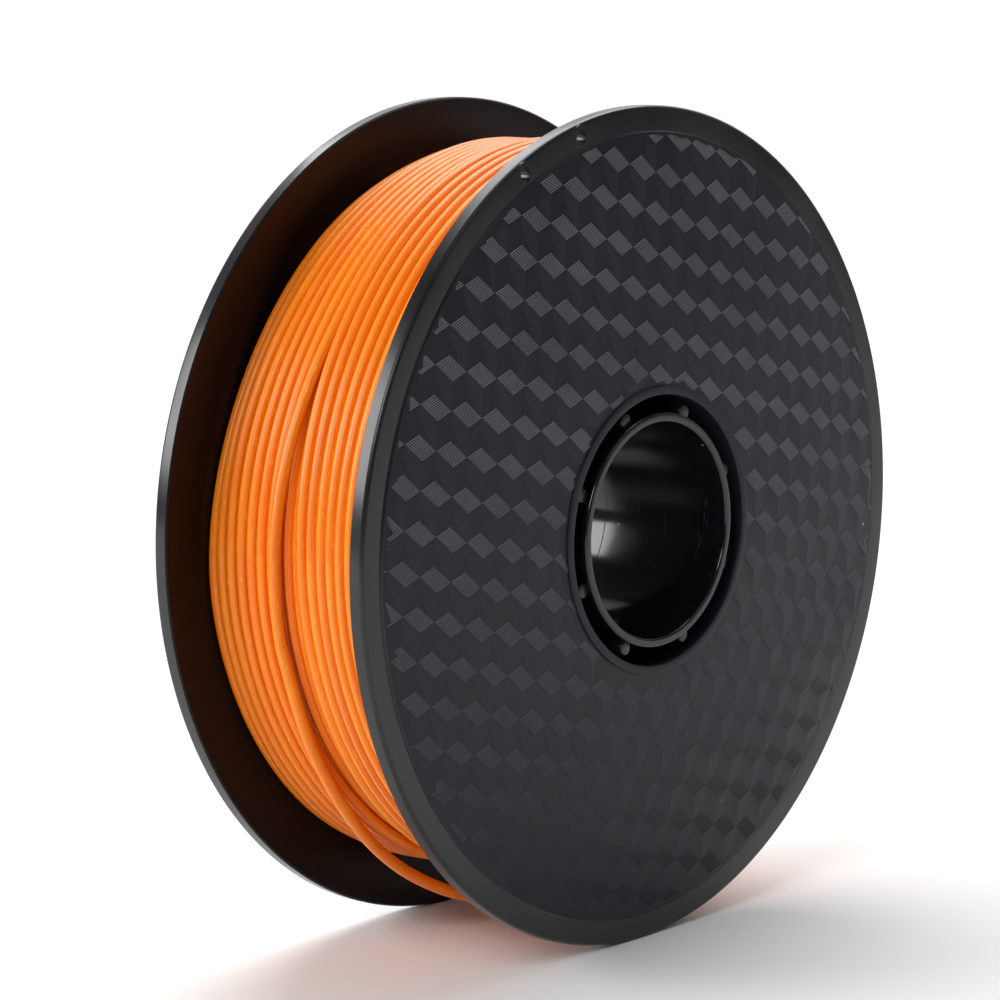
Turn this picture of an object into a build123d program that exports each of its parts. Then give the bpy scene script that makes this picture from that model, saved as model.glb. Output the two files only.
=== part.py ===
"""Full filament spool: two moulded halves, a split bore sleeve, eight joining pins and the filament.

Millimetres.  The spool's axis is Y and the origin is the middle of its bore.  The front half lies
towards -Y and +Z is up, as the spool stands on its two rims.  Profiles are drawn in (radius, height),
where height is the distance from the mid-plane, and the front half mirrors the back half.
"""
import math
import os

from build123d import *

# ---- overall sizes -------------------------------------------------------------------------------
flange_diameter = 200.0
rim_width_overall = 64.0        # outside to outside, measured at the rims
bore_diameter = 51.6
filament_diameter = 3.0
winding_diameter = 174.0        # outside of the wound filament
winding_slack = 4.5             # the outer turns stand off this much at the top
drum_diameter = 90.0

# ---- flange --------------------------------------------------------------------------------------
rim_thickness = 4.0
rim_fillet = 1.0                # outer corner of the rim
rim_edge_break = 0.4            # inner corner of the rim
band_width = 6.0                # smooth band from the edge to the step of the patterned face
step_height = 0.5
face_rise = 4.0                 # the dished face climbs this much from the step to the hub ring
inner_band_width = 3.0          # flat stretch of the inner face beside the rim
hub_gap = 5.0                   # ring-shaped gap between the bore sleeve and the hub ring
hub_ring_width = 2.2
hub_ring_height = 0.5
hub_ring_fillet = 0.3
collar_length = 10.0            # the hub ring carries on inwards as a short collar

# ---- end holes in the rim band -------------------------------------------------------------------
end_hole_diameter = 3.6
end_hole_radius = 96.6
end_hole_pad_diameter = 6.2
front_hole_angles = (104.2, 116.9)     # degrees, seen from the front, from +X towards +Z
quarter_turns_back = 1                 # the back half goes on a quarter turn round from the front one

# ---- drum ----------------------------------------------------------------------------------------
drum_wall = 2.0
drum_land = 2.0                 # flat seat on the flange, past the drum's outside
spigot_length = 4.0
spigot_wall = 2.0
floor_thickness = 2.5

# ---- bore sleeve and joining pins ----------------------------------------------------------------
sleeve_wall = 1.5
sleeve_lip_overhang = 0.7
sleeve_lip_height = 1.5
sleeve_lip_fillet = 0.6
pin_diameter = 3.6
pin_count = 8
pin_end_fillet = 0.4
floor_bore_gap = 0.6            # the floors stay clear of the sleeve, which the pins hold

# ---- fits ----------------------------------------------------------------------------------------
spigot_clearance = 0.1          # radial, flange spigot in the drum
pin_clearance = 0.05            # radial, pin in its hole
pin_to_sleeve = 0.1             # radial, pin beside the sleeve
pin_end_clearance = 0.05        # pin end below the sleeve's lip
winding_clearance = 0.3         # wound filament beside the flanges
same_place = 1e-4               # edges closer than this are taken as one

# ---- worked out ----------------------------------------------------------------------------------
flange_radius = flange_diameter / 2
rim_face = rim_width_overall / 2
rim_inside = rim_face - rim_thickness
step_radius = flange_radius - band_width
inner_dome_radius = flange_radius - inner_band_width
drum_radius = drum_diameter / 2
drum_inner_radius = drum_radius - drum_wall
land_radius = drum_radius + drum_land
spigot_radius = drum_inner_radius - spigot_clearance
bore_radius = bore_diameter / 2
sleeve_radius = bore_radius + sleeve_wall
hub_ring_inner_radius = sleeve_radius + hub_gap
hub_ring_outer_radius = hub_ring_inner_radius + hub_ring_width
pin_radius = pin_diameter / 2
pin_circle_radius = sleeve_radius + pin_to_sleeve + pin_radius
hub_field = rim_face + step_height + face_rise
hub_face = hub_field + hub_ring_height
winding_radius = winding_diameter / 2


def rise(radius, start_radius):
    """Height gained by the dished face between start_radius and radius."""
    run = step_radius**2 - hub_ring_outer_radius**2
    return face_rise * (start_radius**2 - radius**2) / run


def inside_height(radius):
    """Height of the flange's dished inner face above the mid-plane."""
    return rim_inside + rise(radius, inner_dome_radius)


def turned(edges):
    """Solid of revolution about Y from the closed outline that the edges make."""
    return revolve(make_face(edges), Axis.Y, 360)


def ring(inner_radius, outer_radius, low, high):
    """Plain ring about Y."""
    corners = [(inner_radius, low), (outer_radius, low), (outer_radius, high), (inner_radius, high)]
    return turned(Polyline(*corners, close=True).edges())


def place(solid, radius, angle, height):
    """The solid, made upright along +Z at the origin, laid along Y at a polar place."""
    x = radius * math.cos(math.radians(angle))
    z = radius * math.sin(math.radians(angle))
    return Pos(x, height, z) * Rot(-90, 0, 0) * solid


def cylinder_along(radius, low, high, circle_radius, angle):
    """Cylinder parallel to the spool's axis between two heights."""
    rod = Cylinder(radius, high - low)
    return place(rod, circle_radius, angle, (low + high) / 2)


def flange(hole_angles):
    """Dished disc with its rim, smooth band, hub ring, collar, drum spigot and two end holes."""
    seat = inside_height(land_radius)
    middle_out = (step_radius + hub_ring_outer_radius) / 2
    middle_in = (inner_dome_radius + land_radius) / 2
    field_edge = rim_face + step_height
    collar_end = seat - collar_length
    spigot_end = seat - spigot_length
    spigot_inner = spigot_radius - spigot_wall
    outline = [
        Line((flange_radius, rim_inside), (flange_radius, rim_face)),
        Line((flange_radius, rim_face), (step_radius, rim_face)),
        Line((step_radius, rim_face), (step_radius, field_edge)),
        ThreePointArc(
            (step_radius, field_edge),
            (middle_out, field_edge + rise(middle_out, step_radius)),
            (hub_ring_outer_radius, hub_field),
        ),
        Line((hub_ring_outer_radius, hub_field), (hub_ring_outer_radius, hub_face)),
        Line((hub_ring_outer_radius, hub_face), (hub_ring_inner_radius, hub_face)),
        Line((hub_ring_inner_radius, hub_face), (hub_ring_inner_radius, collar_end)),
        Line((hub_ring_inner_radius, collar_end), (hub_ring_outer_radius, collar_end)),
        Line((hub_ring_outer_radius, collar_end), (hub_ring_outer_radius, seat)),
        Line((hub_ring_outer_radius, seat), (spigot_inner, seat)),
        Line((spigot_inner, seat), (spigot_inner, spigot_end)),
        Line((spigot_inner, spigot_end), (spigot_radius, spigot_end)),
        Line((spigot_radius, spigot_end), (spigot_radius, seat)),
        Line((spigot_radius, seat), (land_radius, seat)),
        ThreePointArc(
            (land_radius, seat),
            (middle_in, inside_height(middle_in)),
            (inner_dome_radius, rim_inside),
        ),
        Line((inner_dome_radius, rim_inside), (flange_radius, rim_inside)),
    ]
    disc = turned(outline)
    rim_edges = disc.edges().filter_by(GeomType.CIRCLE)
    outer = [e for e in rim_edges if is_ring(e, flange_radius, rim_face)]
    inner = [e for e in rim_edges if is_ring(e, flange_radius, rim_inside)]
    hub = [e for e in rim_edges if is_ring(e, hub_ring_outer_radius, hub_face)]
    hub += [e for e in rim_edges if is_ring(e, hub_ring_inner_radius, hub_face)]
    disc = fillet(outer, rim_fillet)
    disc = chamfer(refind(disc, inner), rim_edge_break)
    disc = fillet(refind(disc, hub), hub_ring_fillet)
    for angle in hole_angles:
        pad_radius = min(end_hole_pad_diameter / 2, flange_radius - end_hole_radius)
        disc += cylinder_along(pad_radius, rim_inside, rim_face, end_hole_radius, angle)
    for angle in hole_angles:
        disc -= cylinder_along(
            end_hole_diameter / 2, rim_inside - rim_thickness, hub_face, end_hole_radius, angle
        )
    return disc


def is_ring(edge, radius, height):
    """True for the full circle of that radius at that height."""
    at_height = abs(edge.center(CenterOf.BOUNDING_BOX).Y - height) < same_place
    return at_height and abs(edge.radius - radius) < same_place


def refind(solid, old_edges):
    """The solid's own edges where the old ones lay."""
    wanted = [(e.radius, e.center(CenterOf.BOUNDING_BOX).Y) for e in old_edges]
    circles = solid.edges().filter_by(GeomType.CIRCLE)
    return [e for e in circles for radius, height in wanted if is_ring(e, radius, height)]


def drum_half():
    """Half of the winding core: its barrel and the floor that meets the other half's floor."""
    barrel = ring(drum_inner_radius, drum_radius, 0, inside_height(land_radius))
    floor_inner = sleeve_radius + floor_bore_gap
    half = barrel + ring(floor_inner, drum_inner_radius, 0, floor_thickness)
    for index in range(pin_count):
        hole_radius = pin_radius + pin_clearance
        half -= cylinder_along(
            hole_radius, -floor_thickness, 2 * floor_thickness, pin_circle_radius, pin_angle(index)
        )
    return half


def pin_angle(index):
    """Angle of one joining pin; the top of the spool lies midway between two pins."""
    return (index + 0.5) * 360 / pin_count


def bore_sleeve_half():
    """Half of the bore sleeve, from the seam in the middle out to its rounded lip."""
    lip_radius = sleeve_radius + sleeve_lip_overhang
    lip_base = hub_face - sleeve_lip_height
    corners = [
        (bore_radius, 0),
        (sleeve_radius, 0),
        (sleeve_radius, lip_base),
        (lip_radius, lip_base),
        (lip_radius, hub_face),
        (bore_radius, hub_face),
    ]
    sleeve = turned(Polyline(*corners, close=True).edges())
    circles = sleeve.edges().filter_by(GeomType.CIRCLE)
    lip = [e for e in circles if is_ring(e, lip_radius, hub_face) or is_ring(e, bore_radius, hub_face)]
    return fillet(lip, sleeve_lip_fillet)


def joining_pins():
    """Eight pins through both floors, standing round the sleeve and ending under its lips."""
    end = hub_face - sleeve_lip_height - pin_end_clearance
    rod = Cylinder(pin_radius, 2 * end)
    rod = fillet(rod.edges().filter_by(GeomType.CIRCLE), pin_end_fillet)
    return [place(rod, pin_circle_radius, pin_angle(i), 0) for i in range(pin_count)]


def filament_winding():
    """The wound filament as one closed ring between the dished flanges, slack at the top."""
    def side(radius):
        return inside_height(radius) - winding_clearance

    middle = (winding_radius + land_radius) / 2
    inner_corner = (land_radius, side(land_radius))
    middle_point = (middle, side(middle))
    outer_corner = (winding_radius, side(winding_radius))
    outline = [
        Line((drum_radius, -inner_corner[1]), (drum_radius, inner_corner[1])),
        Line((drum_radius, inner_corner[1]), inner_corner),
        ThreePointArc(inner_corner, middle_point, outer_corner),
        Line(outer_corner, mirrored(outer_corner)),
        ThreePointArc(mirrored(outer_corner), mirrored(middle_point), mirrored(inner_corner)),
        Line(mirrored(inner_corner), (drum_radius, -inner_corner[1])),
    ]
    half_width = side(winding_radius + winding_slack)
    slack_turns = ring(middle, winding_radius, -half_width, half_width)
    return turned(outline) + Pos(0, 0, winding_slack) * slack_turns


def mirrored(point):
    """The (radius, height) point on the other side of the mid-plane."""
    return (point[0], -point[1])


# Route of the last turn's loose end, as (angle, lift, y): the angle runs the way the filament does,
# lift is the centre line's height over the winding, and y is the place across the spool.
tail_route = [
    (193.0, 2.2, 4.8),
    (206.0, 2.2, 5.3),
    (218.0, 2.4, 5.8),
    (229.0, 2.7, 7.6),
    (239.0, 3.6, 9.6),
    (248.0, 5.3, 9.2),
    (257.0, 7.3, 6.0),
    (267.0, 8.2, 0.3),
    (278.0, 7.6, -6.0),
    (290.0, 5.7, -11.6),
    (302.0, 3.6, -15.8),
    (313.0, 2.3, -18.6),
]


def tail_point(angle, lift, y):
    """Point of the tail's route."""
    radius = winding_radius + lift
    return (radius * math.cos(math.radians(angle)), y, radius * math.sin(math.radians(angle)))


def filament_tail():
    """The loose end: straight runs joined by tangent arcs as large as the runs allow."""
    points = [Vector(*tail_point(*row)) for row in tail_route]
    radii = []
    for before, here, after in zip(points, points[1:], points[2:]):
        shorter = min((here - before).length, (after - here).length)
        turn = (here - before).get_angle(after - here)
        radii.append(0.45 * shorter / math.tan(math.radians(turn / 2)))
    print("tail bend radii:", [round(r, 1) for r in radii])
    path = FilletPolyline(*points, radius=radii)
    section = Plane(path @ 0, z_dir=path % 0) * Circle(filament_diameter / 2)
    tube = sweep(section, path)
    expected = math.pi * (filament_diameter / 2)**2 * path.length
    print("tail length:", round(path.length, 1), "volume ratio:", round(tube.volume / expected, 5))
    return tube


def front(solid):
    """The front half's copy of a back half's solid."""
    return mirror(solid, Plane.XZ)


def write(name, *solids):
    """One STEP file for the node."""
    whole = Compound(children=list(solids)) if len(solids) > 1 else solids[0]
    export_step(whole, f"parts/{name}.step")


if __name__ == "__main__":
    os.makedirs("parts", exist_ok=True)
    back_hole_angles = [180 - angle - 90 * quarter_turns_back for angle in front_hole_angles]
    write("front_flange", front(flange(front_hole_angles)))
    write("back_flange", flange(back_hole_angles))
    write("front_drum_half", front(drum_half()))
    write("back_drum_half", drum_half())
    write("front_bore_sleeve", front(bore_sleeve_half()))
    write("back_bore_sleeve", bore_sleeve_half())
    write("joining_pins", *joining_pins())
    write("filament_winding", filament_winding())
    write("filament_tail", filament_tail())
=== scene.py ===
"""Filament spool: moulded flanges with a tumbling-block relief, split bore sleeve, wound filament.

Metres, in the part's own frame: the spool's axis is Y, the front flange faces -Y and +Z is up.
"""
import math

import bpy
from mathutils import Matrix, Vector, noise


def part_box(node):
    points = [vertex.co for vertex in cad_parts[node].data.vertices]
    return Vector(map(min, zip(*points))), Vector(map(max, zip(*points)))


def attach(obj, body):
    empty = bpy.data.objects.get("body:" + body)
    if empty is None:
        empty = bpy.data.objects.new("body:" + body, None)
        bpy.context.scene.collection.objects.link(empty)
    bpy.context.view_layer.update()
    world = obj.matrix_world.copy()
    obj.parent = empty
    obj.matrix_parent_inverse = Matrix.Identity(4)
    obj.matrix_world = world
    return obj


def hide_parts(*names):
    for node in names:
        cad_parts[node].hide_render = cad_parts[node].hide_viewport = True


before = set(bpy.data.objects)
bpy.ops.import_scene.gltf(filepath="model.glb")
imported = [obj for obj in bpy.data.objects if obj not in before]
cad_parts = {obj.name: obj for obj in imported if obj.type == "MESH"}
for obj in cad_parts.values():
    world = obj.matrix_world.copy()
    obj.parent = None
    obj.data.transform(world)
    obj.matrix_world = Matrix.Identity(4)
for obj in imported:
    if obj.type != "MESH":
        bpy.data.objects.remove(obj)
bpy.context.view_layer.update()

# ---- sizes taken from the frame ------------------------------------------------------------------
MM = 0.001
FLANGE_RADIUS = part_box("front_flange")[1].x
HUB_FACE = -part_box("front_flange")[0].y
WINDING_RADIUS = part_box("filament_winding")[1].x
SLEEVE_LIP_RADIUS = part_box("front_bore_sleeve")[1].x
PIN_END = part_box("joining_pins")[1].y

# ---- flange, in millimetres times MM, as the moulding is dimensioned -------------------------------
RIM_FACE = 32.0 * MM
RIM_THICKNESS = 4.0 * MM
RIM_FILLET = 1.0 * MM
EDGE_BREAK = 0.4 * MM
BAND_WIDTH = 6.0 * MM
STEP_HEIGHT = 0.5 * MM
STEP_BREAK = 0.2 * MM
STEP_FOOT = 0.15 * MM
FACE_RINGS = 14
FACE_RISE = 4.0 * MM
INNER_BAND = 3.0 * MM
HUB_RING_INNER = 32.3 * MM
HUB_RING_OUTER = 34.5 * MM
HUB_RING_FILLET = 0.3 * MM
COLLAR_LENGTH = 10.0 * MM
LAND_RADIUS = 47.0 * MM
SPIGOT_RADIUS = 42.9 * MM
SPIGOT_WALL = 2.0 * MM
SPIGOT_LENGTH = 4.0 * MM
HOLE_RADIUS = 1.8 * MM
HOLE_PAD_RADIUS = 3.1 * MM
HOLE_CIRCLE = 96.6 * MM
HOLE_ANGLES = (104.2, 116.9)
STEP_RADIUS = FLANGE_RADIUS - BAND_WIDTH
RIM_INSIDE = RIM_FACE - RIM_THICKNESS

# ---- sleeve and pins -------------------------------------------------------------------------------
BORE_RADIUS = 25.8 * MM
SLEEVE_RADIUS = 27.3 * MM
LIP_HEIGHT = 1.5 * MM
LIP_FILLET = 0.6 * MM
SEAM_BREAK = 0.12 * MM
PIN_RADIUS = 1.8 * MM
PIN_CIRCLE = 29.2 * MM
PIN_BEVEL = 0.4 * MM
PIN_COUNT = 8

# ---- relief pattern: the three edges of a tumbling block, as (x, z) on the front face ---------------
EDGE_A = Vector((4.6, 0.0, 1.85)) * MM
EDGE_B = Vector((5.0, 0.0, -4.25)) * MM
EDGE_C = Vector((-0.5, 0.0, -6.55)) * MM
BLOCK_START = Vector((-53.8, 0.0, 4.7)) * MM
BLOCK_TILT = 0.09 * MM
TILE_DEPTH = 0.9 * MM
RIB_COUNT = 11
RIB_MARGIN = 0.02
RIB_GAP = 0.16
RIB_CREST = 0.5
RIB_HEIGHT = 0.14 * MM
RELIEF_SINK = 0.14 * MM
RELIEF_FADE = 1.2 * MM
# Heights over which the ribs' painted highlight fades to plain towards the foot of the face.
SHEEN_FADE_LOW = -85.0 * MM
SHEEN_FADE_HIGH = 25.0 * MM
BLOCK_ROWS = 22
BLOCK_COLUMNS = 30

# ---- filament: a hump is its angle and the spans over which it rises and falls, in degrees -----------
STRAND_RADIUS = 1.5 * MM
STRAND_FILL = 0.94
OUTER_LAYER = WINDING_RADIUS - STRAND_RADIUS
LAYER_DROP = 2.55 * MM
LOOSE_TOP = 4.0 * MM
LOOSE_HUMP = (85, 140, 62)
LEFT_SIDE = 180
BACK_START = 20
BACK_TURNS_Y = 27.6 * MM
BACK_Y_PLAY = 0.1 * MM
BACK_UNEVEN_Y = 0.55 * MM
BACK_UNEVEN_RADIUS = 0.22 * MM
BACK_PITCH = 3.2 * MM
BACK_TURN_COUNT = 7
BACK_TOP_SHIFT = 9
BACK_TOP_HUMP = (80, 140, 85)
BACK_SIDE_SHIFT = 1.2 * MM
BACK_SIDE_HUMP = (145, 60, 50)
FIRST_TURN_SPAN = 1.6
FIRST_TURN_TIGHTER = 0.2
FIRST_TURN_DROP = 0.7 * MM
FIRST_TURN_DIP = 2.6 * MM
FIRST_TURN_HUMP = (156, 40, 34)
CLIMB_SPAN = 55
TAIL_OVERLAP = 0.5
FRONT_TURNS_Y = -0.8 * MM
FRONT_PITCH = 2.97 * MM
FRONT_TURN_COUNT = 8.75
FRONT_UNEVEN_Y = 0.45 * MM
FRONT_UNEVEN_RADIUS = 0.2 * MM
FRONT_LOOSER = 1.15
FRONT_START = -20
FRONT_LIMIT_Y = -27.2 * MM
FAN_SHIFT = 1.9 * MM
FAN_TURNS = 5
FAN_HUMP = (128, 70, 48)
SINK_SPAN = 60
SINK_DEPTH = 0.9 * LAYER_DROP
UNDER_UNEVEN_Y = 0.2 * MM
UNDER_PITCH = 3.03 * MM
UNDER_HALF_WIDTH = 26.2 * MM
CORE_HALF_WIDTH = 27.4 * MM
CORE_SWELL = 1.2 * MM
STEPS_PER_TURN = 240
TAIL_ROUTE = [
    (193.0, 2.2, 4.8),
    (206.0, 2.2, 5.3),
    (218.0, 2.4, 5.8),
    (229.0, 2.7, 7.6),
    (239.0, 3.6, 9.6),
    (248.0, 5.3, 9.2),
    (257.0, 7.3, 6.0),
    (267.0, 8.2, 0.3),
    (278.0, 7.6, -6.0),
    (290.0, 5.7, -11.6),
    (302.0, 3.6, -15.8),
    (313.0, 2.3, -18.6),
]

# ---- stage: each light is its name, place, size, watts and target ----------------------------------
FLOOR_SIZE = 3.2
LIGHTS = [
    ("back_left", (-1.15, 1.0, 0.60), 0.8, 17, (0, 0, 0)),
    ("front_left", (-1.5, -0.45, 0.95), 0.6, 10, (0, 0, 0)),
    ("overhead", (1.1, 0.9, 2.3), 2.4, 80, (0.5, 0.5, 0)),
    ("face_glance", (0.2, -1.5, 1.6), 0.9, 1.8, (0, 0, 0)),
]
BRIGHT_SIDE = (0.77, 0.63, 0.10)
BRIGHT_WORLD = 1.0
DIM_WORLD = 0.14
VIEW_AZIMUTH = -50.49
VIEW_ELEVATION = 8.75
VIEW_DISTANCE = 0.9856
VIEW_LENS = 146.4
VIEW_SHIFT = (-0.0399, 0.0153)

QUARTER = math.pi / 2
TURN_OVER = Matrix.Rotation(QUARTER, 4, "Y") @ Matrix.Rotation(math.pi, 4, "Z")


# ---- small modelling helpers -----------------------------------------------------------------------
def deselect():
    """Clears the selection."""
    bpy.ops.object.select_all(action="DESELECT")


def active(piece):
    """Makes the piece the only selected one."""
    deselect()
    piece.select_set(True)
    bpy.context.view_layer.objects.active = piece


def edit_all(piece):
    """Opens the piece in edit mode with everything selected."""
    active(piece)
    bpy.ops.object.mode_set(mode="EDIT")
    bpy.ops.mesh.select_mode(type="VERT")
    bpy.ops.mesh.select_all(action="SELECT")


def leave_edit():
    """Back to object mode."""
    bpy.ops.object.mode_set(mode="OBJECT")


def settle(piece, name):
    """Names a new primitive and puts its place into its mesh."""
    piece.name = name
    piece.data.name = name
    bpy.ops.object.transform_apply(location=True, rotation=True, scale=True)
    return piece


def duplicate(piece, name, change=Matrix.Identity(4)):
    """A copy with its own mesh, moved by the matrix."""
    copy = piece.copy()
    copy.data = piece.data.copy()
    copy.name = name
    copy.data.name = name
    bpy.context.collection.objects.link(copy)
    copy.data.transform(change)
    return copy


def join(pieces, name):
    """Joins the pieces into the first one."""
    deselect()
    for piece in pieces:
        piece.select_set(True)
    bpy.context.view_layer.objects.active = pieces[0]
    if len(pieces) > 1:
        bpy.ops.object.join()
    pieces[0].name = name
    return pieces[0]


def smooth(piece, angle=35.0):
    """Smooth shading below the angle."""
    active(piece)
    bpy.ops.object.shade_smooth_by_angle(angle=math.radians(angle))


def corner(centre, radius, start, end, steps=5):
    """Points of a round corner, from one angle to the other."""
    turn = (math.radians(start + (end - start) * i / steps) for i in range(steps + 1))
    return [(centre[0] + radius * math.cos(t), centre[1] + radius * math.sin(t)) for t in turn]


def lathe(name, outline, side=1, segments=256):
    """Turns a closed (radius, height) outline round Y, one extruded ring at a time."""
    deselect()
    first_radius, first_height = outline[0]
    place = (0, side * first_height, 0)
    bpy.ops.mesh.primitive_circle_add(
        vertices=segments, radius=first_radius, location=place, rotation=(QUARTER, 0, 0)
    )
    piece = settle(bpy.context.object, name)
    edit_all(piece)
    for (radius, height), (next_radius, next_height) in zip(outline, outline[1:] + outline[:1]):
        step = (0, side * (next_height - height), 0)
        bpy.ops.mesh.extrude_region_move(TRANSFORM_OT_translate={"value": step})
        scale = next_radius / radius
        bpy.ops.transform.resize(value=(scale, 1, scale), center_override=(0, 0, 0))
    bpy.ops.mesh.select_all(action="SELECT")
    bpy.ops.mesh.remove_doubles(threshold=1e-6)
    bpy.ops.mesh.normals_make_consistent(inside=False)
    leave_edit()
    return piece


def rod(name, radius, low, high, circle, angle, sides=32):
    """Cylinder along Y at a polar place."""
    deselect()
    x = circle * math.cos(math.radians(angle))
    z = circle * math.sin(math.radians(angle))
    bpy.ops.mesh.primitive_cylinder_add(
        vertices=sides, radius=radius, depth=high - low,
        location=(x, (low + high) / 2, z), rotation=(QUARTER, 0, 0),
    )
    return settle(bpy.context.object, name)


def combine(piece, tool, operation):
    """Boolean of the piece with a tool, which is used up."""
    active(piece)
    modifier = piece.modifiers.new("cut", "BOOLEAN")
    modifier.object = tool
    modifier.operation = operation
    modifier.solver = "EXACT"
    bpy.ops.object.modifier_apply(modifier=modifier.name)
    bpy.data.objects.remove(tool, do_unlink=True)


# ---- shader helpers --------------------------------------------------------------------------------
def node(tree, kind, **settings):
    """New shader node with its properties set."""
    made = tree.nodes.new(kind)
    for key, value in settings.items():
        setattr(made, key, value)
    return made


def link(tree, source, target):
    """Connects two sockets."""
    tree.links.new(source, target)


def new_group(name, inputs, outputs):
    """Empty shader node group with float sockets."""
    group = bpy.data.node_groups.new(name, "ShaderNodeTree")
    for label, default in inputs:
        socket = group.interface.new_socket(label, in_out="INPUT", socket_type="NodeSocketFloat")
        socket.default_value = default
    for label in outputs:
        group.interface.new_socket(label, in_out="OUTPUT", socket_type="NodeSocketFloat")
    return group, node(group, "NodeGroupInput"), node(group, "NodeGroupOutput")


def ramp(tree, source, low, high):
    """Map range from low..high to 0..1, clamped."""
    made = node(tree, "ShaderNodeMapRange")
    made.inputs["From Min"].default_value = low
    made.inputs["From Max"].default_value = high
    link(tree, source, made.inputs["Value"])
    return made.outputs["Result"]


def noise_node(tree, vector, scale, detail=3.0):
    """Noise texture on a vector; scale may be a number or a socket."""
    made = node(tree, "ShaderNodeTexNoise")
    made.inputs["Detail"].default_value = detail
    if isinstance(scale, (int, float)):
        made.inputs["Scale"].default_value = scale
    else:
        link(tree, scale, made.inputs["Scale"])
    link(tree, vector, made.inputs["Vector"])
    return made.outputs["Fac"]


def moulding_grain_group():
    """Fine spark-eroded grain, cloudy tone and a few dust specks."""
    inputs = [("Grain Scale", 2600.0), ("Cloud Scale", 28.0)]
    group, entry, leave = new_group("moulding_grain", inputs, ["Grain", "Cloud", "Dust"])
    place = node(group, "ShaderNodeTexCoord").outputs["Object"]
    link(group, noise_node(group, place, entry.outputs["Grain Scale"]), leave.inputs["Grain"])
    link(group, noise_node(group, place, entry.outputs["Cloud Scale"], 4.0), leave.inputs["Cloud"])
    cells = node(group, "ShaderNodeTexVoronoi")
    cells.inputs["Scale"].default_value = 130.0
    link(group, place, cells.inputs["Vector"])
    near = ramp(group, cells.outputs["Distance"], 0.055, 0.03)
    rare = ramp(group, noise_node(group, place, 47.0, 0.0), 0.66, 0.70)
    product = node(group, "ShaderNodeMath", operation="MULTIPLY")
    link(group, near, product.inputs[0])
    link(group, rare, product.inputs[1])
    link(group, product.outputs[0], leave.inputs["Dust"])
    return group


def hairline_group():
    """Thin scratches: very stretched noise, kept only at its narrow crests."""
    inputs = [("Scale", 240.0), ("Amount", 1.0)]
    group, entry, leave = new_group("hairlines", inputs, ["Scratches"])
    place = node(group, "ShaderNodeTexCoord").outputs["Object"]
    found = None
    for turn, stretch in ((20.0, 0.03), (-65.0, 0.02)):
        mapping = node(group, "ShaderNodeMapping")
        mapping.inputs["Rotation"].default_value = (0.3, math.radians(turn), 0.2)
        mapping.inputs["Scale"].default_value = (1.0, 1.0, stretch)
        link(group, place, mapping.inputs["Vector"])
        wave = noise_node(group, mapping.outputs["Vector"], entry.outputs["Scale"], 2.0)
        distance = node(group, "ShaderNodeMath", operation="SUBTRACT")
        distance.inputs[1].default_value = 0.66
        link(group, wave, distance.inputs[0])
        size = node(group, "ShaderNodeMath", operation="ABSOLUTE")
        link(group, distance.outputs[0], size.inputs[0])
        line = ramp(group, size.outputs[0], 0.006, 0.0)
        if found is None:
            found = line
            continue
        most = node(group, "ShaderNodeMath", operation="MAXIMUM")
        link(group, found, most.inputs[0])
        link(group, line, most.inputs[1])
        found = most.outputs[0]
    scaled = node(group, "ShaderNodeMath", operation="MULTIPLY")
    link(group, found, scaled.inputs[0])
    link(group, entry.outputs["Amount"], scaled.inputs[1])
    link(group, scaled.outputs[0], leave.inputs["Scratches"])
    return group


def strand_group():
    """Marks that follow the wound strand: coordinates are the angle, the radius and the place on Y."""
    group, _, leave = new_group("along_strand", [], ["Tone", "Streak", "Scuff"])
    place = node(group, "ShaderNodeTexCoord").outputs["Object"]
    parts = node(group, "ShaderNodeSeparateXYZ")
    link(group, place, parts.inputs[0])
    angle = node(group, "ShaderNodeMath", operation="ARCTAN2")
    link(group, parts.outputs["Z"], angle.inputs[0])
    link(group, parts.outputs["X"], angle.inputs[1])
    flat = node(group, "ShaderNodeCombineXYZ")
    link(group, parts.outputs["X"], flat.inputs["X"])
    link(group, parts.outputs["Z"], flat.inputs["Y"])
    radius = node(group, "ShaderNodeVectorMath", operation="LENGTH")
    link(group, flat.outputs[0], radius.inputs[0])

    def around(angle_scale, across_scale):
        """Vector stretched along the strand."""
        combined = node(group, "ShaderNodeCombineXYZ")
        values = [(angle.outputs[0], angle_scale), (radius.outputs["Value"], across_scale)]
        values.append((parts.outputs["Y"], across_scale))
        for socket, (source, factor) in zip(combined.inputs, values):
            scaled = node(group, "ShaderNodeMath", operation="MULTIPLY")
            scaled.inputs[1].default_value = factor
            link(group, source, scaled.inputs[0])
            link(group, scaled.outputs[0], socket)
        return combined.outputs[0]

    link(group, noise_node(group, around(1.1, 330.0), 1.0, 2.0), leave.inputs["Tone"])
    link(group, noise_node(group, around(3.0, 3800.0), 1.0, 2.0), leave.inputs["Streak"])
    scuff = noise_node(group, around(26.0, 900.0), 1.0, 3.0)
    link(group, ramp(group, scuff, 0.62, 0.78), leave.inputs["Scuff"])
    return group


def principled(name):
    """New material: its node tree and its Principled shader."""
    material = bpy.data.materials.new(name)
    material.use_nodes = True
    return material, material.node_tree, material.node_tree.nodes["Principled BSDF"]


def use_group(tree, group, **values):
    """Puts a node group in the material with its own values."""
    made = node(tree, "ShaderNodeGroup")
    made.node_tree = group
    for label, value in values.items():
        made.inputs[label.replace("_", " ")].default_value = value
    return made


def mix_colour(tree, mask, first, second):
    """Colour between two, by a mask socket."""
    made = node(tree, "ShaderNodeMix", data_type="RGBA")
    for socket, value in ((made.inputs[6], first), (made.inputs[7], second)):
        if isinstance(value, tuple):
            socket.default_value = (*value, 1.0)
        else:
            link(tree, value, socket)
    link(tree, mask, made.inputs[0])
    return made.outputs[2]


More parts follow.
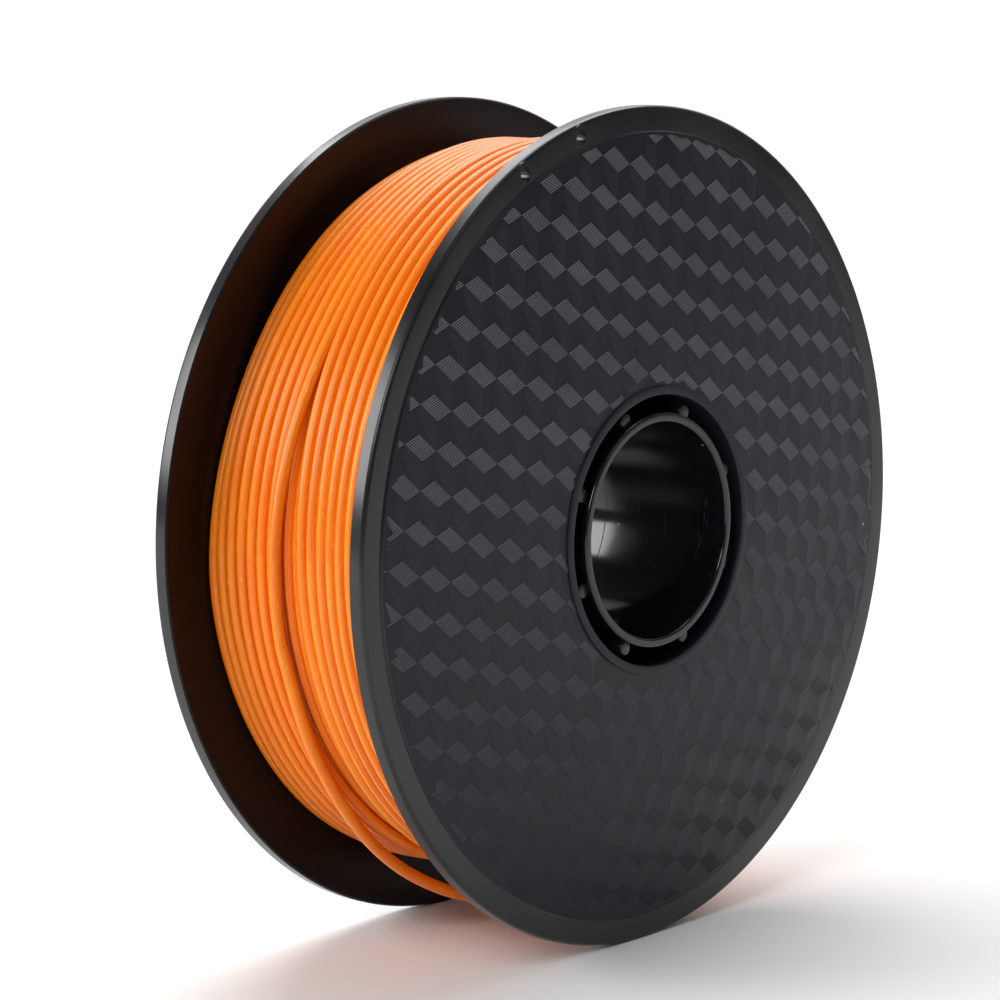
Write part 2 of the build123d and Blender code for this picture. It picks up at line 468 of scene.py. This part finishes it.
def mix_value(tree, mask, low, high):
    """Number between two, by a mask socket."""
    made = node(tree, "ShaderNodeMapRange")
    made.inputs["To Min"].default_value = low
    made.inputs["To Max"].default_value = high
    link(tree, mask, made.inputs["Value"])
    return made.outputs["Result"]


def bump(tree, height, strength, distance, shader):
    """Bump from a height socket into the shader."""
    made = node(tree, "ShaderNodeBump")
    made.inputs["Strength"].default_value = strength
    made.inputs["Distance"].default_value = distance
    link(tree, height, made.inputs["Height"])
    link(tree, made.outputs["Normal"], shader.inputs["Normal"])


def black_plastic(name, dark, light, rough, grain=0.25, grain_scale=2600.0, scratches=0.08, shine=0.26):
    """Moulded black plastic: cloudy tone, grain, hairlines and a little dust."""
    material, tree, shader = principled(name)
    shader.inputs["Specular IOR Level"].default_value = shine
    marks = use_group(tree, GRAIN, Grain_Scale=grain_scale)
    lines = use_group(tree, HAIRLINES, Amount=scratches)
    cloud = ramp(tree, marks.outputs["Cloud"], 0.35, 0.65)
    tone = mix_colour(tree, cloud, dark, light)
    scratched = mix_colour(tree, lines.outputs["Scratches"], tone, (0.06, 0.06, 0.065))
    dusty = mix_colour(tree, marks.outputs["Dust"], scratched, (0.42, 0.41, 0.40))
    link(tree, dusty, shader.inputs["Base Color"])
    link(tree, mix_value(tree, cloud, rough - 0.05, rough + 0.06), shader.inputs["Roughness"])
    bump(tree, marks.outputs["Grain"], grain, 0.00006, shader)
    return material


def fade_painted_sheen_downwards(material, plain):
    """Painted sheen fading out: blends the material's colour to a plain, darker one towards the foot of the
    face.
    """
    tree = material.node_tree
    colour = tree.nodes["Principled BSDF"].inputs["Base Color"]
    sheen_colour = colour.links[0].from_socket
    parts = node(tree, "ShaderNodeSeparateXYZ")
    link(tree, node(tree, "ShaderNodeTexCoord").outputs["Object"], parts.inputs[0])
    mask = ramp(tree, parts.outputs["Z"], SHEEN_FADE_LOW, SHEEN_FADE_HIGH)
    link(tree, mix_colour(tree, mask, plain, sheen_colour), colour)


def filament_plastic():
    """Orange strand: faint die lines along it, tone that drifts round the spool, small scuffs."""
    material, tree, shader = principled("filament_orange")
    marks = use_group(tree, STRANDS)
    tone = ramp(tree, marks.outputs["Tone"], 0.3, 0.7)
    base = mix_colour(tree, tone, (0.86, 0.180, 0.001), (0.95, 0.255, 0.002))
    worn = mix_colour(tree, marks.outputs["Scuff"], base, (1.0, 0.36, 0.03))
    link(tree, worn, shader.inputs["Base Color"])
    link(tree, mix_value(tree, marks.outputs["Streak"], 0.26, 0.46), shader.inputs["Roughness"])
    shader.inputs["Subsurface Weight"].default_value = 0.04
    shader.inputs["Subsurface Radius"].default_value = (0.0022, 0.0008, 0.0002)
    shader.inputs["Subsurface Scale"].default_value = 1.0
    bump(tree, marks.outputs["Streak"], 0.12, 0.00004, shader)
    return material


GRAIN = moulding_grain_group()
HAIRLINES = hairline_group()
STRANDS = strand_group()
SATIN = black_plastic("flange_satin", (0.009, 0.007, 0.012), (0.012, 0.010, 0.016), 0.42)
POLISHED = black_plastic(
    "flange_inside", (0.003, 0.002, 0.002), (0.005, 0.003, 0.003), 0.40,
    grain=0.06, grain_scale=900.0, scratches=0.02, shine=0.2,
)
BAND = black_plastic(
    "rim_band", (0.008, 0.008, 0.010), (0.013, 0.013, 0.015), 0.25, grain=0.10, shine=0.45
)
GLOSS = black_plastic(
    "sleeve_gloss", (0.004, 0.004, 0.005), (0.007, 0.006, 0.008), 0.13,
    grain=0.03, grain_scale=700.0, scratches=0.35, shine=0.5,
)
# Left and right facets are one black plastic in a lit and a shaded copy: painted light on the left facets,
# painted shade on the right facets and on the ground under the ribs.
TILE_LEFT_PAINTED_LIT = black_plastic("relief_left_painted_lit", (0.016, 0.013, 0.021), (0.021, 0.018, 0.027), 0.46)
TILE_RIGHT_PAINTED_SHADE = black_plastic("relief_right_painted_shade", (0.008, 0.006, 0.011), (0.011, 0.009, 0.015), 0.40)
# The ribs' light grey is a painted highlight for the light the ribs catch from the upper left.
TILE_RIBBED_PAINTED_SHEEN = black_plastic("relief_ribbed_painted_sheen", (0.135, 0.130, 0.145), (0.180, 0.172, 0.192), 0.40)
# The painted highlight on the ribs fades to a plain dark grey towards the foot of the face.
fade_painted_sheen_downwards(TILE_RIBBED_PAINTED_SHEEN, (0.034, 0.031, 0.040))
ORANGE = filament_plastic()


# ---- flanges ---------------------------------------------------------------------------------------
def rise(radius, start):
    """Height gained by the dished face between two radii."""
    return FACE_RISE * (start**2 - radius**2) / (STEP_RADIUS**2 - HUB_RING_OUTER**2)


def flange_outline():
    """Closed (radius, height) outline of one flange, from its rim round to its inner face."""
    inner_start = FLANGE_RADIUS - INNER_BAND
    seat = RIM_INSIDE + rise(LAND_RADIUS, inner_start)
    field = RIM_FACE + STEP_HEIGHT
    rim_centre = (FLANGE_RADIUS - RIM_FILLET, RIM_FACE - RIM_FILLET)
    outline = [(FLANGE_RADIUS - EDGE_BREAK, RIM_INSIDE), (FLANGE_RADIUS, RIM_INSIDE + EDGE_BREAK)]
    outline += corner(rim_centre, RIM_FILLET, 0, 90, steps=8)
    outline += [(STEP_RADIUS + STEP_FOOT, RIM_FACE), (STEP_RADIUS, RIM_FACE + STEP_FOOT)]
    outline += [(STEP_RADIUS, field - STEP_BREAK), (STEP_RADIUS - STEP_BREAK, field)]
    for i in range(1, FACE_RINGS + 1):
        radius = STEP_RADIUS + (HUB_RING_OUTER - STEP_RADIUS) * i / FACE_RINGS
        outline.append((radius, field + rise(radius, STEP_RADIUS)))
    hub_height = HUB_FACE - HUB_RING_FILLET
    outline += corner((HUB_RING_OUTER - HUB_RING_FILLET, hub_height), HUB_RING_FILLET, 0, 90, steps=4)
    outline += corner((HUB_RING_INNER + HUB_RING_FILLET, hub_height), HUB_RING_FILLET, 90, 180, steps=4)
    outline += [(HUB_RING_INNER, seat - COLLAR_LENGTH), (HUB_RING_OUTER, seat - COLLAR_LENGTH)]
    outline += [(HUB_RING_OUTER, seat), (SPIGOT_RADIUS - SPIGOT_WALL, seat)]
    outline += [(SPIGOT_RADIUS - SPIGOT_WALL, seat - SPIGOT_LENGTH)]
    outline += [(SPIGOT_RADIUS, seat - SPIGOT_LENGTH), (SPIGOT_RADIUS, seat), (LAND_RADIUS, seat)]
    for i in range(1, FACE_RINGS + 1):
        radius = LAND_RADIUS + (inner_start - LAND_RADIUS) * i / FACE_RINGS
        outline.append((radius, RIM_INSIDE + rise(radius, inner_start)))
    return outline


def paint_flange(piece):
    """Satin outer face, smooth rim band and polished inner face."""
    for material in (SATIN, POLISHED, BAND):
        piece.data.materials.append(material)
    for face in piece.data.polygons:
        radius = math.hypot(face.center.x, face.center.z)
        if radius > STEP_RADIUS - STEP_BREAK:
            face.material_index = 2
        elif face.normal.y > 0.3 and -face.center.y < HUB_FACE - STEP_HEIGHT:
            face.material_index = 1
        if radius > STEP_RADIUS and face.normal.y > 0.7:
            face.material_index = 1


def front_flange():
    """The front flange: turned shell, pads and end holes."""
    piece = lathe("front_flange_shell", flange_outline(), side=-1)
    for angle in HOLE_ANGLES:
        pad = rod("pad", HOLE_PAD_RADIUS, -RIM_FACE, -RIM_INSIDE - EDGE_BREAK, HOLE_CIRCLE, angle, 48)
        combine(piece, pad, "UNION")
    for angle in HOLE_ANGLES:
        drill = rod("drill", HOLE_RADIUS, -HUB_FACE, -RIM_INSIDE + RIM_THICKNESS, HOLE_CIRCLE, angle)
        combine(piece, drill, "DIFFERENCE")
    paint_flange(piece)
    smooth(piece)
    return piece


# ---- relief of the outer faces ---------------------------------------------------------------------
def skewed(origin, edge_u, edge_v, depth):
    """Matrix from the unit cube to a slab on the front face, its outside at the cube's top."""
    outward = Vector((0, -depth, 0))
    return Matrix.Translation(origin) @ Matrix((edge_u, edge_v, outward)).transposed().to_4x4()


def unit_box(low, high, name):
    """Box between two corners of the unit cube."""
    deselect()
    middle = (Vector(low) + Vector(high)) / 2
    size = Vector(high) - Vector(low)
    bpy.ops.mesh.primitive_cube_add(size=1, location=middle, scale=size)
    return settle(bpy.context.object, name)


def tile(origin, edge_u, edge_v, material):
    """One flat facet of a block."""
    piece = unit_box((0, 0, -1), (1, 1, 0), "tile")
    piece.data.transform(skewed(origin, edge_u, edge_v, TILE_DEPTH))
    piece.data.materials.append(material)
    return piece


def rib(index, origin, edge_u, edge_v):
    """One fine rib of the ribbed facet, with a narrowed crest."""
    pitch = 1 / RIB_COUNT
    low = (RIB_MARGIN, (index + RIB_GAP) * pitch, -0.5)
    high = (1 - RIB_MARGIN, (index + 1 - RIB_GAP) * pitch, 1)
    piece = unit_box(low, high, "rib")
    edit_all(piece)
    bpy.ops.mesh.select_all(action="DESELECT")
    leave_edit()
    for face in piece.data.polygons:
        face.select = face.normal.z > 0.9
    bpy.ops.object.mode_set(mode="EDIT")
    bpy.ops.mesh.select_mode(type="FACE")
    crest = (0.5, (low[1] + high[1]) / 2, 1)
    bpy.ops.transform.resize(value=(0.99, RIB_CREST, 1), center_override=crest)
    leave_edit()
    piece.data.transform(skewed(origin, edge_u, edge_v, RIB_HEIGHT))
    # Painted highlight: the ribs take the light grey relief material.
    piece.data.materials.append(TILE_RIBBED_PAINTED_SHEEN)
    return piece


def block():
    """One tumbling block: a ribbed facet above two plain ones, tilted like a very flat cube."""
    def lifted(level):
        return Vector((0, -BLOCK_TILT * level, 0))

    edge_a = EDGE_A + lifted(-1)
    edge_b = EDGE_B + lifted(1)
    left = lifted(2)
    middle = EDGE_B + lifted(3)
    down = EDGE_C + lifted(-1)
    # Painted light and shade: the left facet takes the lighter copy, the right facet and the ribbed facet's
    # ground the darker one.
    pieces = [tile(left, edge_a, edge_b, TILE_RIGHT_PAINTED_SHADE)]
    pieces.append(tile(left, down, edge_b, TILE_LEFT_PAINTED_LIT))
    pieces.append(tile(middle, down, edge_a, TILE_RIGHT_PAINTED_SHADE))
    pieces += [rib(i, left, edge_a, edge_b) for i in range(RIB_COUNT)]
    whole = join(pieces, "block")
    edit_all(whole)
    bpy.ops.mesh.normals_make_consistent(inside=False)
    leave_edit()
    return whole


def trim(piece, point, normal):
    """Cuts away what lies past a plane, and closes the cut."""
    edit_all(piece)
    bpy.ops.mesh.bisect(plane_co=point, plane_no=normal, use_fill=True, clear_outer=True)
    leave_edit()


def relief():
    """All the blocks between the step and the hub ring, trimmed at both and laid on the dished face."""
    pattern = block()
    step_right = EDGE_A + EDGE_B
    step_down = EDGE_B + EDGE_C
    reach = max((v.co - (EDGE_B + EDGE_C) / 2).length for v in pattern.data.vertices)
    outer = STEP_RADIUS - 2 * STEP_BREAK
    inner = (HUB_RING_INNER + HUB_RING_OUTER) / 2
    blocks = []
    for row in range(-BLOCK_ROWS, BLOCK_ROWS + 1):
        for column in range(-BLOCK_COLUMNS, BLOCK_COLUMNS + 1):
            corner_place = BLOCK_START - EDGE_A + step_right * column + step_down * row
            centre = corner_place + (EDGE_B * 2 + EDGE_A + EDGE_C) / 2
            distance = math.hypot(centre.x, centre.z)
            if distance > outer + reach or distance < inner - reach:
                continue
            piece = duplicate(pattern, "cell", Matrix.Translation(corner_place))
            away = Vector((centre.x, 0, centre.z)).normalized()
            if distance > outer - reach:
                trim(piece, away * outer, away)
            if distance < inner + reach:
                trim(piece, away * inner, -away)
            if len(piece.data.polygons) == 0:
                bpy.data.objects.remove(piece, do_unlink=True)
                continue
            blocks.append(piece)
    bpy.data.objects.remove(pattern, do_unlink=True)
    sheet = join(blocks, "front_relief")
    field = RIM_FACE + STEP_HEIGHT
    for vertex in sheet.data.vertices:
        radius = math.hypot(vertex.co.x, vertex.co.z)
        from_edge = min(outer - radius, radius - HUB_RING_OUTER)
        if vertex.co.y < 0:
            vertex.co.y *= ease(from_edge / RELIEF_FADE)
        vertex.co.y -= field - RELIEF_SINK + rise(radius, STEP_RADIUS)
    return sheet


# ---- sleeve, pins ----------------------------------------------------------------------------------
def sleeve_outline():
    """Closed outline of half the bore sleeve, with its rounded lip."""
    lip_base = HUB_FACE - LIP_HEIGHT
    outline = [(BORE_RADIUS, SEAM_BREAK), (BORE_RADIUS + SEAM_BREAK, 0), (SLEEVE_RADIUS, 0)]
    outline += [(SLEEVE_RADIUS, lip_base), (SLEEVE_LIP_RADIUS, lip_base)]
    top = HUB_FACE - LIP_FILLET
    outline += corner((SLEEVE_LIP_RADIUS - LIP_FILLET, top), LIP_FILLET, 0, 90, steps=6)
    outline += corner((BORE_RADIUS + LIP_FILLET, top), LIP_FILLET, 90, 180, steps=6)
    return outline


def sleeves():
    """Both halves of the bore sleeve."""
    halves = []
    for name, side in (("front_bore_sleeve", -1), ("back_bore_sleeve", 1)):
        piece = lathe(name + "_shell", sleeve_outline(), side, segments=192)
        piece.data.materials.append(GLOSS)
        smooth(piece)
        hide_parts(name)
        halves.append(piece)
    return halves


def pins():
    """Eight joining pins: one with rounded ends, copied round the sleeve."""
    first = rod("pin", PIN_RADIUS, -PIN_END, PIN_END, PIN_CIRCLE, 180 / PIN_COUNT)
    bevel = first.modifiers.new("ends", "BEVEL")
    bevel.width = PIN_BEVEL
    bevel.segments = 3
    bevel.limit_method = "ANGLE"
    bevel.angle_limit = math.radians(60)
    active(first)
    bpy.ops.object.modifier_apply(modifier=bevel.name)
    copies = [first]
    for index in range(1, PIN_COUNT):
        turn = Matrix.Rotation(-2 * math.pi * index / PIN_COUNT, 4, "Y")
        copies.append(duplicate(first, "pin", turn))
    piece = join(copies, "joining_pins_set")
    piece.data.materials.append(BAND)
    smooth(piece)
    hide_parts("joining_pins")
    return piece


# ---- filament --------------------------------------------------------------------------------------
def polar(angle, radius, y):
    """Point at an angle in degrees round the spool's axis."""
    return Vector((radius * math.cos(math.radians(angle)), y, radius * math.sin(math.radians(angle))))


def wander(angle, turn, seed):
    """Smooth unevenness from -1 to 1 that neighbouring turns share."""
    spot = polar(angle, 1.0, 0.0) * 1.3
    return noise.noise(Vector((spot.x + seed, spot.z - seed, turn * 0.22)))


def ease(value):
    """Smooth step from 0 to 1."""
    value = min(max(value, 0.0), 1.0)
    return value * value * (3 - 2 * value)


def strand(name, start_angle, end_angle, place):
    """A stretch of wound filament; place(angle) gives its radius and y."""
    count = max(8, round((end_angle - start_angle) / 360 * STEPS_PER_TURN))
    data = bpy.data.curves.new(name, "CURVE")
    data.dimensions = "3D"
    data.bevel_depth = STRAND_RADIUS * STRAND_FILL
    data.bevel_resolution = 3
    data.use_fill_caps = True
    line = data.splines.new("POLY")
    line.points.add(count)
    for i, point in enumerate(line.points):
        angle = start_angle + (end_angle - start_angle) * i / count
        point.co = (*polar(angle, *place(angle)), 1.0)
    piece = bpy.data.objects.new(name, data)
    bpy.context.collection.objects.link(piece)
    active(piece)
    bpy.ops.object.convert(target="MESH")
    piece = bpy.context.object
    piece.data.materials.append(ORANGE)
    active(piece)
    bpy.ops.object.shade_smooth()
    return piece


def bump_at(angle, centre, before, after):
    """Smooth hump of height 1 at an angle, falling to 0 over the given spans on either side."""
    away = (angle - centre + 180) % 360 - 180
    span = after if away > 0 else before
    return ease(1 - abs(away) / span)


def loosened(angle):
    """How far the outer turns stand off near the top, where the winding is slack."""
    return LOOSE_TOP * bump_at(angle, *LOOSE_HUMP)


def back_turns():
    """The turns laid last, from the back flange to the loose end, which climbs over its neighbours."""
    tail_angle, tail_height, tail_y = TAIL_ROUTE[0]
    end_angle = tail_angle + BACK_TURN_COUNT * 360 + TAIL_OVERLAP
    climb_start = end_angle - CLIMB_SPAN
    tail_lift = tail_height * MM + STRAND_RADIUS

    def place(angle):
        turn = (angle - LEFT_SIDE) / 360
        y = BACK_TURNS_Y - BACK_PITCH * turn + BACK_UNEVEN_Y * wander(angle, turn, 3.0)
        y = min(y, BACK_TURNS_Y + BACK_Y_PLAY)
        first = 1 - ease(turn / FIRST_TURN_SPAN)
        low = first * (FIRST_TURN_DROP + FIRST_TURN_DIP * bump_at(angle, *FIRST_TURN_HUMP))
        climb = ease((angle - climb_start) / CLIMB_SPAN)
        radius = OUTER_LAYER - low + BACK_UNEVEN_RADIUS * wander(angle, turn, 9.0) * (1 - climb)
        radius += loosened(angle) * (1 - FIRST_TURN_TIGHTER * first)
        y -= (BACK_TOP_SHIFT - turn) * MM * bump_at(angle, *BACK_TOP_HUMP)
        y -= BACK_SIDE_SHIFT * (1 - first) * bump_at(angle, *BACK_SIDE_HUMP)
        y = y + (tail_y * MM - y) * climb
        return radius + tail_lift * climb, y

    return strand("winding_back_turns", BACK_START, end_angle, place)


def front_turns():
    """The turns of the outer layer beside the front flange."""
    end_angle = LEFT_SIDE + FRONT_TURN_COUNT * 360

    def place(angle):
        turn = (angle - LEFT_SIDE) / 360
        y = FRONT_TURNS_Y - FRONT_PITCH * turn + FRONT_UNEVEN_Y * wander(angle, turn, 5.0)
        y += FAN_SHIFT * max(0.0, 1 - turn / FAN_TURNS) * bump_at(angle, *FAN_HUMP)
        y = max(y, FRONT_LIMIT_Y)
        sunk = 1 - ease((angle - FRONT_START) / SINK_SPAN)
        radius = OUTER_LAYER + FRONT_UNEVEN_RADIUS * wander(angle, turn, 1.0) - SINK_DEPTH * sunk
        radius += loosened(angle) * FRONT_LOOSER
        return radius, y

    return strand("winding_front_turns", FRONT_START, end_angle, place)


def under_layer():
    """The whole layer below the outer one, wound the other way."""
    turns = 2 * UNDER_HALF_WIDTH / UNDER_PITCH

    def place(angle):
        turn = angle / 360
        y = -UNDER_HALF_WIDTH + UNDER_PITCH * turn + UNDER_UNEVEN_Y * wander(angle, turn, 8.0)
        return OUTER_LAYER - LAYER_DROP, y

    return strand("winding_second_layer", 0, 360 * turns, place)


def winding_core():
    """The rest of the winding, seen only as shadow between the strands."""
    outer = OUTER_LAYER - LAYER_DROP * 2
    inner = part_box("front_drum_half")[1].x + 0.1 * MM
    half = CORE_HALF_WIDTH
    foot = half + CORE_SWELL
    outline = [(inner, -foot), (outer, -half), (outer, half), (inner, foot)]
    piece = lathe("winding_core", outline, segments=128)
    piece.data.materials.append(ORANGE)
    smooth(piece)
    return piece


def tail():
    """The loose end of the filament."""
    data = bpy.data.curves.new("filament_tail_end", "CURVE")
    data.dimensions = "3D"
    data.bevel_depth = STRAND_RADIUS
    data.bevel_resolution = 5
    data.resolution_u = 16
    data.use_fill_caps = True
    line = data.splines.new("NURBS")
    line.points.add(len(TAIL_ROUTE) - 1)
    for point, (angle, lift, y) in zip(line.points, TAIL_ROUTE):
        point.co = (*polar(angle, WINDING_RADIUS + lift * MM, y * MM), 1.0)
    line.order_u = 3
    line.use_endpoint_u = True
    piece = bpy.data.objects.new("filament_tail_end", data)
    bpy.context.collection.objects.link(piece)
    piece.data.materials.append(ORANGE)
    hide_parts("filament_tail")
    return piece


# ---- stage -----------------------------------------------------------------------------------------
def stage():
    """Pale flat floor under the rims."""
    deselect()
    bpy.ops.mesh.primitive_plane_add(size=FLOOR_SIZE, location=(0, 0, -FLANGE_RADIUS))
    floor = settle(bpy.context.object, "studio_floor")
    material, tree, shader = principled("studio_white")
    spots = node(tree, "ShaderNodeTexCoord").outputs["Object"]
    cloud = noise_node(tree, spots, 3.0)
    link(tree, mix_colour(tree, cloud, (0.86, 0.86, 0.86), (0.88, 0.88, 0.88)), shader.inputs["Base Color"])
    shader.inputs["Roughness"].default_value = 0.85
    floor.data.materials.append(material)


def soft_light(name, place, size, power, target):
    """Square soft box aimed at a point."""
    data = bpy.data.lights.new(name, "AREA")
    data.size = size
    data.energy = power
    lamp = bpy.data.objects.new(name, data)
    lamp.location = place
    lamp.rotation_euler = (Vector(target) - Vector(place)).to_track_quat("-Z", "Y").to_euler()
    bpy.context.collection.objects.link(lamp)


def surroundings():
    """World light: white behind the spool, dim on the side its front face mirrors."""
    world = bpy.data.worlds.new("studio")
    bpy.context.scene.world = world
    world.use_nodes = True
    tree = world.node_tree
    direction = node(tree, "ShaderNodeTexCoord").outputs["Generated"]
    facing = node(tree, "ShaderNodeVectorMath", operation="DOT_PRODUCT")
    facing.inputs[1].default_value = BRIGHT_SIDE
    link(tree, direction, facing.inputs[0])
    bright = ramp(tree, facing.outputs["Value"], 0.45, 0.85)
    background = tree.nodes["Background"]
    background.inputs["Color"].default_value = (1, 1, 1, 1)
    link(tree, mix_value(tree, bright, DIM_WORLD, BRIGHT_WORLD), background.inputs["Strength"])


def lighting():
    """Soft boxes at the left, behind and in front, a large one overhead and a weak one on the face."""
    surroundings()
    for light in LIGHTS:
        soft_light(*light)


def camera():
    """Camera to the left of the front face and a little above it."""
    azimuth = math.radians(VIEW_AZIMUTH)
    elevation = math.radians(VIEW_ELEVATION)
    data = bpy.data.cameras.new("view")
    data.sensor_width = 36.0
    data.lens = VIEW_LENS
    data.shift_x, data.shift_y = VIEW_SHIFT
    eye = bpy.data.objects.new("view", data)
    flat = math.cos(elevation)
    back = Vector((math.sin(azimuth) * flat, -math.cos(azimuth) * flat, math.sin(elevation)))
    eye.location = back * VIEW_DISTANCE
    eye.rotation_euler = back.to_track_quat("Z", "Y").to_euler()
    bpy.context.collection.objects.link(eye)
    bpy.context.scene.camera = eye


# ---- assembly --------------------------------------------------------------------------------------
def finish_piece(piece, slot, *nodes):
    """Rides a piece on the spool and hides the frame's parts it takes the place of."""
    if nodes:
        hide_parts(*nodes)
    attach(piece, "root")


def build():
    """Every shown piece of the spool."""
    shell = front_flange()
    pattern = relief()
    back_shell = duplicate(shell, "back_flange_shell", TURN_OVER)
    back_pattern = duplicate(pattern, "back_relief", TURN_OVER)
    finish_piece(shell, "spool_plastic", "front_flange")
    finish_piece(pattern, "spool_plastic", "front_flange")
    finish_piece(back_shell, "spool_plastic", "back_flange")
    finish_piece(back_pattern, "spool_plastic", "back_flange")
    for piece in sleeves():
        finish_piece(piece, "sleeve_plastic")
    finish_piece(pins(), "spool_plastic")
    windings = [back_turns(), front_turns(), under_layer(), winding_core()]
    for piece in windings:
        finish_piece(piece, "filament", "filament_winding")
    finish_piece(tail(), "filament")
    for name in ("front_drum_half", "back_drum_half"):
        drum = bpy.data.objects[name]
        drum.data.materials.clear()
        drum.data.materials.append(SATIN)


bpy.context.scene.view_settings.view_transform = "Standard"
build()
stage()
lighting()
camera()
